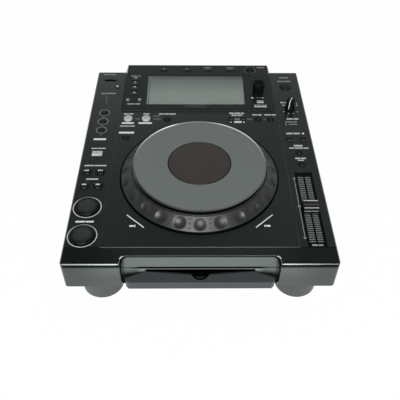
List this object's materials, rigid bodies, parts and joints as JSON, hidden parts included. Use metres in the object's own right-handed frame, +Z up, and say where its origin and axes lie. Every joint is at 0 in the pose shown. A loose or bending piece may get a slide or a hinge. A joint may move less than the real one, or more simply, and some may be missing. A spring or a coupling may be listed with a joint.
{
  "type": "tabletop dj disc player",
  "caption": "Tabletop disc player for DJs: turning jog wheel, tempo slider, sloping display hood, push keys, knobs and a front disc slot.",
  "frame": {"origin": "middle of the footprint, on the table under the feet", "axes": "+Z up; the front with the disc slot faces -Y; +X is the side of the tempo slider"},
  "size_m": [0.305, 0.386, 0.1071],
  "materials": {
    "deck_black": "satin moulded plastic with a fine grain",
    "tub_black": "black powder coat",
    "hood_black": "satin moulded plastic",
    "window_clear": "clear polished",
    "lcd_panel": "unlit display",
    "bezel_grey": "satin",
    "lip_grey": "satin",
    "foot_grey": "matt",
    "screw_steel": "zinc plated",
    "panel_black": "black paint",
    "key_dark": "satin",
    "key_light": "translucent white",
    "dish_black": "moulded",
    "carrier_metal": "die cast",
    "jog_smoke": "smoked, dished",
    "jog_grey": "satin grey",
    "jog_dark": "smoked clear",
    "gear_white": "moulded acetal",
    "fader_steel": "plain",
    "cap_black": "satin",
    "knob_black": "matt",
    "board_green": "solder mask",
    "supply_tan": "paper laminate",
    "drive_steel": "zinc plated sheet",
    "guide_black": "moulded",
    "motor_steel": "plated can",
    "rod_steel": "ground",
    "roller_rubber": "soft"
  },
  "bodies": {
    "player": {"top_case": "deck_black", "bottom_case": "tub_black", "display_hood": "hood_black", "display_window": "window_clear", "lcd_module": "lcd_panel", "slot_bezel": "bezel_grey", "loading_lip": "lip_grey", "feet": "foot_grey", "case_screws": "screw_steel", "jack_panel": "panel_black", "jog_base": "dish_black", "fader_frame": "fader_steel", "key_boards": "board_green", "main_board": "board_green", "power_supply": "supply_tan", "drive_frame": "drive_steel", "disc_guide": "guide_black", "drive_motors": "motor_steel", "guide_rods": "rod_steel"},
    "jog_wheel": {"jog_carrier": "carrier_metal", "jog_ring": "jog_smoke", "jog_plate": "jog_grey", "jog_window": "jog_dark"},
    "encoder_gear": {"encoder_gear": "gear_white"},
    "tempo_slider": {"tempo_slider": "cap_black"},
    "selector_knob": {"selector_knob": "knob_black"},
    "speed_knob": {"speed_knob": "knob_black"},
    "power_button": {"power_button": "key_dark"},
    "turntable": {"turntable": "guide_black"},
    "pickup_sled": {"pickup_sled": "guide_black"},
    "sled_gear": {"sled_gear": "gear_white"},
    "loading_roller": {"loading_roller": "roller_rubber"},
    "cue_button": {"cue_button": "key_dark"},
    "play_button": {"play_button": "key_dark"},
    "track_back_button": {"track_back_button": "key_dark"},
    "track_forward_button": {"track_forward_button": "key_dark"},
    "search_back_button": {"search_back_button": "key_dark"},
    "search_forward_button": {"search_forward_button": "key_dark"},
    "slip_button": {"slip_button": "key_light"},
    "cue_a_button": {"cue_a_button": "key_dark"},
    "cue_b_button": {"cue_b_button": "key_dark"},
    "cue_c_button": {"cue_c_button": "key_dark"},
    "usb_stop_button": {"usb_stop_button": "key_light"},
    "loop_in_button": {"loop_in_button": "key_light"},
    "loop_out_button": {"loop_out_button": "key_light"},
    "reloop_button": {"reloop_button": "key_dark"},
    "beat_button": {"beat_button": "key_dark"},
    "call_keys": {"call_keys": "key_dark"},
    "delete_button": {"delete_button": "key_dark"},
    "memory_button": {"memory_button": "key_dark"},
    "jog_mode_button": {"jog_mode_button": "key_dark"},
    "sync_button": {"sync_button": "key_dark"},
    "master_button": {"master_button": "key_dark"},
    "tempo_range_button": {"tempo_range_button": "key_dark"},
    "master_tempo_button": {"master_tempo_button": "key_dark"},
    "source_keys": {"source_keys": "key_dark"},
    "menu_keys": {"menu_keys": "key_dark"},
    "link_keys": {"link_keys": "key_light"},
    "info_button": {"info_button": "key_dark"},
    "browse_keys": {"browse_keys": "key_light"}
  },
  "joints": [
    {"name": "jog_spin", "type": "hinge", "parent": "player", "child": "jog_wheel", "pos_m": [0, -0.0501, 0.085], "axis": [0, 0, 1], "continuous": true},
    {"name": "encoder_spin", "type": "hinge", "parent": "player", "child": "encoder_gear", "pos_m": [0, 0.0185, 0.085], "axis": [0, 0, 1], "continuous": true},
    {"name": "tempo_slide", "type": "slide", "parent": "player", "child": "tempo_slider", "axis": [0, 1, 0], "range_m": [-0.047, 0.053]},
    {"name": "selector_turn", "type": "hinge", "parent": "player", "child": "selector_knob", "pos_m": [0.0875, 0.12149, 0.09111], "axis": [0, -0.0738, 0.9973], "continuous": true},
    {"name": "speed_turn", "type": "hinge", "parent": "player", "child": "speed_knob", "pos_m": [0.131, 0.0894, 0.085], "axis": [0, 0, 1], "range_deg": [-115, 165]},
    {"name": "power_press", "type": "slide", "parent": "player", "child": "power_button", "axis": [0, -1, 0], "range_m": [0, 0.0025], "stiffness_N_per_m": 500, "springref_m": -0.0005},
    {"name": "turntable_spin", "type": "hinge", "parent": "player", "child": "turntable", "pos_m": [0, -0.0976, 0.06], "axis": [0, 0, 1], "continuous": true},
    {"name": "sled_slide", "type": "slide", "parent": "player", "child": "pickup_sled", "axis": [0, 1, 0], "range_m": [0, 0.033]},
    {"name": "sled_gear_spin", "type": "hinge", "parent": "player", "child": "sled_gear", "pos_m": [0.0368, -0.0696, 0.053], "axis": [0, 0, 1], "range_deg": [-265, 2]},
    {"name": "roller_spin", "type": "hinge", "parent": "player", "child": "loading_roller", "pos_m": [0, -0.1616, 0.061], "axis": [1, 0, 0], "continuous": true},
    {"name": "cue_press", "type": "slide", "parent": "player", "child": "cue_button", "axis": [0, 0, -1], "range_m": [0, 0.001], "stiffness_N_per_m": 500, "springref_m": -0.0005},
    {"name": "play_press", "type": "slide", "parent": "player", "child": "play_button", "axis": [0, 0, -1], "range_m": [0, 0.001], "stiffness_N_per_m": 500, "springref_m": -0.0005},
    {"name": "track_back_press", "type": "slide", "parent": "player", "child": "track_back_button", "axis": [0, 0, -1], "range_m": [0, 0.001], "stiffness_N_per_m": 300, "springref_m": -0.0005},
    {"name": "track_forward_press", "type": "slide", "parent": "player", "child": "track_forward_button", "axis": [0, 0, -1], "range_m": [0, 0.001], "stiffness_N_per_m": 300, "springref_m": -0.0005},
    {"name": "search_back_press", "type": "slide", "parent": "player", "child": "search_back_button", "axis": [0, 0, -1], "range_m": [0, 0.001], "stiffness_N_per_m": 300, "springref_m": -0.0005},
    {"name": "search_forward_press", "type": "slide", "parent": "player", "child": "search_forward_button", "axis": [0, 0, -1], "range_m": [0, 0.001], "stiffness_N_per_m": 300, "springref_m": -0.0005},
    {"name": "slip_press", "type": "slide", "parent": "player", "child": "slip_button", "axis": [0, 0, -1], "range_m": [0, 0.001], "stiffness_N_per_m": 300, "springref_m": -0.0005},
    {"name": "cue_a_press", "type": "slide", "parent": "player", "child": "cue_a_button", "axis": [0, 0, -1], "range_m": [0, 0.001], "stiffness_N_per_m": 300, "springref_m": -0.0005},
    {"name": "cue_b_press", "type": "slide", "parent": "player", "child": "cue_b_button", "axis": [0, 0, -1], "range_m": [0, 0.001], "stiffness_N_per_m": 300, "springref_m": -0.0005},
    {"name": "cue_c_press", "type": "slide", "parent": "player", "child": "cue_c_button", "axis": [0, 0, -1], "range_m": [0, 0.001], "stiffness_N_per_m": 300, "springref_m": -0.0005},
    {"name": "usb_stop_press", "type": "slide", "parent": "player", "child": "usb_stop_button", "axis": [0, 0, -1], "range_m": [0, 0.001], "stiffness_N_per_m": 300, "springref_m": -0.0005},
    {"name": "loop_in_press", "type": "slide", "parent": "player", "child": "loop_in_button", "axis": [0, 0, -1], "range_m": [0, 0.001], "stiffness_N_per_m": 300, "springref_m": -0.0005},
    {"name": "loop_out_press", "type": "slide", "parent": "player", "child": "loop_out_button", "axis": [0, 0, -1], "range_m": [0, 0.001], "stiffness_N_per_m": 300, "springref_m": -0.0005},
    {"name": "reloop_press", "type": "slide", "parent": "player", "child": "reloop_button", "axis": [0, 0, -1], "range_m": [0, 0.001], "stiffness_N_per_m": 300, "springref_m": -0.0005},
    {"name": "beat_press", "type": "slide", "parent": "player", "child": "beat_button", "axis": [0, 0, -1], "range_m": [0, 0.001], "stiffness_N_per_m": 300, "springref_m": -0.0005},
    {"name": "call_press", "type": "slide", "parent": "player", "child": "call_keys", "axis": [0, 0, -1], "range_m": [0, 0.001], "stiffness_N_per_m": 300, "springref_m": -0.0005},
    {"name": "delete_press", "type": "slide", "parent": "player", "child": "delete_button", "axis": [0, 0, -1], "range_m": [0, 0.001], "stiffness_N_per_m": 300, "springref_m": -0.0005},
    {"name": "memory_press", "type": "slide", "parent": "player", "child": "memory_button", "axis": [0, 0, -1], "range_m": [0, 0.001], "stiffness_N_per_m": 300, "springref_m": -0.0005},
    {"name": "jog_mode_press", "type": "slide", "parent": "player", "child": "jog_mode_button", "axis": [0, 0, -1], "range_m": [0, 0.001], "stiffness_N_per_m": 300, "springref_m": -0.0005},
    {"name": "sync_press", "type": "slide", "parent": "player", "child": "sync_button", "axis": [0, 0, -1], "range_m": [0, 0.001], "stiffness_N_per_m": 300, "springref_m": -0.0005},
    {"name": "master_press", "type": "slide", "parent": "player", "child": "master_button", "axis": [0, 0, -1], "range_m": [0, 0.001], "stiffness_N_per_m": 300, "springref_m": -0.0005},
    {"name": "tempo_range_press", "type": "slide", "parent": "player", "child": "tempo_range_button", "axis": [0, 0, -1], "range_m": [0, 0.001], "stiffness_N_per_m": 300, "springref_m": -0.0005},
    {"name": "master_tempo_press", "type": "slide", "parent": "player", "child": "master_tempo_button", "axis": [0, 0, -1], "range_m": [0, 0.001], "stiffness_N_per_m": 300, "springref_m": -0.0005},
    {"name": "source_press", "type": "slide", "parent": "player", "child": "source_keys", "axis": [0, 0.0738, -0.9973], "range_m": [0, 0.001], "stiffness_N_per_m": 300, "springref_m": -0.0005},
    {"name": "menu_press", "type": "slide", "parent": "player", "child": "menu_keys", "axis": [0, 0.0738, -0.9973], "range_m": [0, 0.001], "stiffness_N_per_m": 300, "springref_m": -0.0005},
    {"name": "link_press", "type": "slide", "parent": "player", "child": "link_keys", "axis": [0, 0.0738, -0.9973], "range_m": [0, 0.001], "stiffness_N_per_m": 300, "springref_m": -0.0005},
    {"name": "info_press", "type": "slide", "parent": "player", "child": "info_button", "axis": [0, 0.0738, -0.9973], "range_m": [0, 0.001], "stiffness_N_per_m": 300, "springref_m": -0.0005},
    {"name": "browse_press", "type": "slide", "parent": "player", "child": "browse_keys", "axis": [0, 0.0738, -0.9973], "range_m": [0, 0.001], "stiffness_N_per_m": 300, "springref_m": -0.0005}
  ],
  "couplings": [
    {"joint": "encoder_spin", "follows": "jog_spin", "ratio": -4.4444},
    {"joint": "sled_gear_spin", "follows": "sled_slide", "rad_per_m": -138.89}
  ]
}
